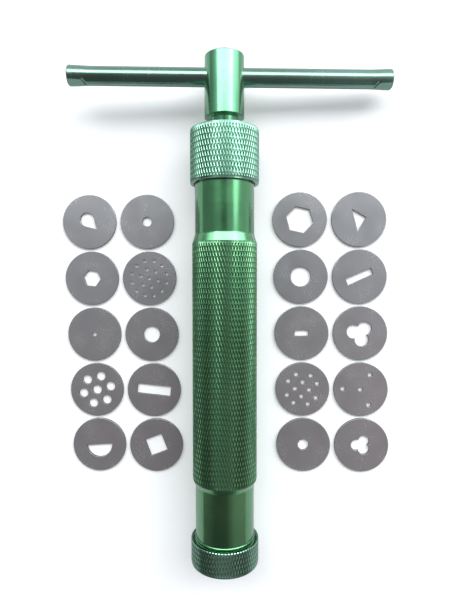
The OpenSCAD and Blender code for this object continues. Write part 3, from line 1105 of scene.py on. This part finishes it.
die_disc("four_holes", 58, round_hole(1.6) + ring_of_holes(3, 6.2, 1.6))
die_disc("small_trefoil", 60, trefoil(1.9, 1.7))


# Table
# The plain white top that the tool and the discs lie on. It is one flat, matt face and takes their
# shadows.
table_half = 1.6
table_mesh = bpy.data.meshes.new("table_top")
table_corners = [(x * table_half, y * table_half, 0) for x, y in ((-1, -1), (1, -1), (1, 1), (-1, 1))]
table_mesh.from_pydata(table_corners, [], [(0, 1, 2, 3)])
table_top = put_in_scene("table_top", table_mesh)


def table_finish():
    """Pale and matt with a trace of unevenness. The camera sees it lifted to white with its shadows, and
    what is mirrored or seen through glass is lifted a little."""
    camera_lift = 0.17
    mirror_lift = 0.05
    made, tree, shader, place = new_finish("white_table", metallic=0.0)
    haze = patches(tree, place, 12.0, detail=3.0)
    ray = add_node(tree, "ShaderNodeLightPath").outputs
    pale = blended(tree, haze, (0.54, 0.54, 0.54), (0.57, 0.57, 0.57))
    white = blended(tree, haze, (0.93, 0.93, 0.93), (0.96, 0.96, 0.96))
    tree.links.new(blended(tree, ray["Is Camera Ray"], pale, white), shader.inputs["Base Color"])
    shader.inputs["Roughness"].default_value = 0.9
    shader.inputs["Specular IOR Level"].default_value = 0.1
    mirrored = calc(tree, "ADD", ray["Is Glossy Ray"], ray["Is Transmission Ray"])
    lift = calc(tree, "MULTIPLY", ray["Is Camera Ray"], camera_lift)
    lift = calc(tree, "MULTIPLY_ADD", mirrored, mirror_lift, lift)
    shader.inputs["Emission Color"].default_value = (1, 1, 1, 1)
    tree.links.new(lift, shader.inputs["Emission Strength"])
    return made


table_mesh.materials.append(table_finish())


# Window light
# One long, narrow lamp beyond the handle stands in for a window. It faces the tool from well above the
# table and gives the white lines along the metal.
window_w = 1.3
window_h = 0.355
window_watts = 4.5
window_away = 0.804
window_aside = 0.15
window_lean = math.radians(36.3)
window_bearing = math.radians(92)

window = bpy.data.lights.new("window", "AREA")
window.shape = "RECTANGLE"
window.size = window_w
window.size_y = window_h
window.energy = window_watts
window_out = window_away * math.sin(window_lean)
window_stand = put_in_scene("window", window)
window_stand.location = (
    window_out * math.cos(window_bearing) + window_aside,
    window_out * math.sin(window_bearing),
    window_away * math.cos(window_lean),
)
window_stand.rotation_euler = (window_lean, 0, window_bearing + math.radians(90))


# Room
# Plain walls that light the table softly and show in the metal: bright beyond the handle, dimmer above
# the tool and on the left, and warmer towards the nose. The camera sees them as white.
scene = bpy.context.scene
scene.view_settings.view_transform = "Standard"
room = bpy.data.worlds.new("plain_room")
room.use_nodes = True
walls = room.node_tree
facing = add_node(walls, "ShaderNodeSeparateXYZ")
walls.links.new(add_node(walls, "ShaderNodeTexCoord").outputs["Generated"], facing.inputs[0])
to_right = facing.outputs["X"]
to_handle = facing.outputs["Y"]
off_middle = calc(walls, "ABSOLUTE", to_right)

# Daylight on the side walls, which falls off towards the nose and on the left.
right_wall = 0.8
daylight = stretched(walls, to_handle, -0.5, 0.15, 0.38, 0.8)
left_wall = stretched(walls, to_handle, -0.4, 0.0, 0.5, 0.33)
rightness = stretched(walls, to_right, -0.7, 0.7, 0.0, 1.0)
left_to_right = calc(walls, "SUBTRACT", right_wall, left_wall)
side_walls = calc(walls, "MULTIPLY_ADD", rightness, left_to_right, left_wall)

# A dim patch overhead that widens and leans to the left towards the nose.
patch_half = stretched(walls, to_handle, -0.4, 0.1, 0.8, 0.27)
patch_lean = stretched(walls, to_handle, -0.4, 0.1, 0.22, 0.0)
from_patch = calc(walls, "ABSOLUTE", calc(walls, "ADD", to_right, patch_lean))
dimmed = stretched(walls, calc(walls, "DIVIDE", from_patch, patch_half), 0.45, 1.0, 0.3, 1.0)

# The bright wall beyond the handle, with a brighter strip on the right and on both sides of the lamp.
# Its upper edge slants a little, and is higher at the strip.
strip_glow = 0.8
strip_rise = 0.2
edge_slant = -0.03
window_middle = 0.1
least_to_handle = 0.12
wall_glow = stretched(walls, to_right, -0.9, -0.42, 0.05, 1.3)
strip_start = stretched(walls, to_right, 0.5, 0.62, 0.0, 1.0)
strip_end = stretched(walls, to_right, 0.76, 0.92, 1.0, 0.0)
right_strip = calc(walls, "MULTIPLY", strip_start, strip_end)
wall_glow = calc(walls, "MULTIPLY_ADD", right_strip, strip_glow, wall_glow)
bearing = calc(walls, "DIVIDE", to_right, calc(walls, "MAXIMUM", to_handle, least_to_handle))
from_window = calc(walls, "ABSOLUTE", calc(walls, "SUBTRACT", bearing, window_middle))
in_window = stretched(walls, from_window, 1.4, 1.65, 1.0, 0.0)
beside_lamp = stretched(walls, off_middle, 0.4, 0.6, 0.0, 1.7)
wall_glow = calc(walls, "MULTIPLY_ADD", in_window, beside_lamp, wall_glow)
slanted = calc(walls, "MULTIPLY_ADD", to_right, edge_slant, to_handle)
slanted = calc(walls, "MULTIPLY_ADD", right_strip, strip_rise, slanted)
bright_wall = calc(walls, "MULTIPLY", stretched(walls, slanted, 0.23, 0.35, 0.0, 1.0), wall_glow)
below_window = stretched(walls, to_handle, 0.62, 0.78, 1.0, 0.35)

# The wall behind the nose, seen only to the left and the right of the tool.
beside_tool = stretched(walls, off_middle, 0.35, 0.55, 0.0, 0.5)
near_wall = stretched(walls, to_handle, -0.8, -0.55, 1.0, 0.0)
near_wall = calc(walls, "MULTIPLY", near_wall, beside_tool)

# All of that together. The camera sees plain white instead, and metal and glass a trace of it.
mirrored_white = 0.04
plain = calc(walls, "MULTIPLY_ADD", calc(walls, "MULTIPLY", daylight, side_walls), dimmed, near_wall)
light = calc(walls, "MULTIPLY_ADD", bright_wall, below_window, plain)
rays = add_node(walls, "ShaderNodeLightPath").outputs
mirrored = calc(walls, "MAXIMUM", rays["Is Glossy Ray"], rays["Is Transmission Ray"])
seen = calc(walls, "MAXIMUM", rays["Is Camera Ray"], calc(walls, "MULTIPLY", mirrored, mirrored_white))
backdrop = calc(walls, "MULTIPLY_ADD", calc(walls, "SUBTRACT", 1.0, light), seen, light)
walls.links.new(backdrop, walls.nodes["Background"].inputs["Strength"])

# Cool daylight, with a warm band on the nose side.
warm_from = stretched(walls, to_handle, -0.6, -0.42, 0.0, 1.0)
warm_to = stretched(walls, to_handle, -0.2, 0.0, 1.0, 0.0)
warmth = calc(walls, "MULTIPLY", warm_from, warm_to)
tint = blended(walls, warmth, (0.90, 0.985, 1.05), (1.2, 0.91, 0.92))
tint = blended(walls, rays["Is Camera Ray"], tint, (0.97, 0.99, 1.0))
walls.links.new(tint, walls.nodes["Background"].inputs["Color"])
scene.world = room


# Camera
# It looks down on the table from above the tool, very slightly tilted, with the handle at the top of the
# picture.
camera_place = (4.4 * mm, 10.06 * mm, 169.0 * mm)
camera_nod = math.radians(-2.10)
camera_lean = math.radians(1.55)

lens = bpy.data.cameras.new("camera")
lens.sensor_width = 36
lens.lens = 28.57
lens.clip_start = 0.005
camera = put_in_scene("camera", lens)
tilt = Matrix.Rotation(camera_nod, 4, "X") @ Matrix.Rotation(camera_lean, 4, "Y")
camera.matrix_world = Matrix.Translation(camera_place) @ tilt
scene.camera = camera
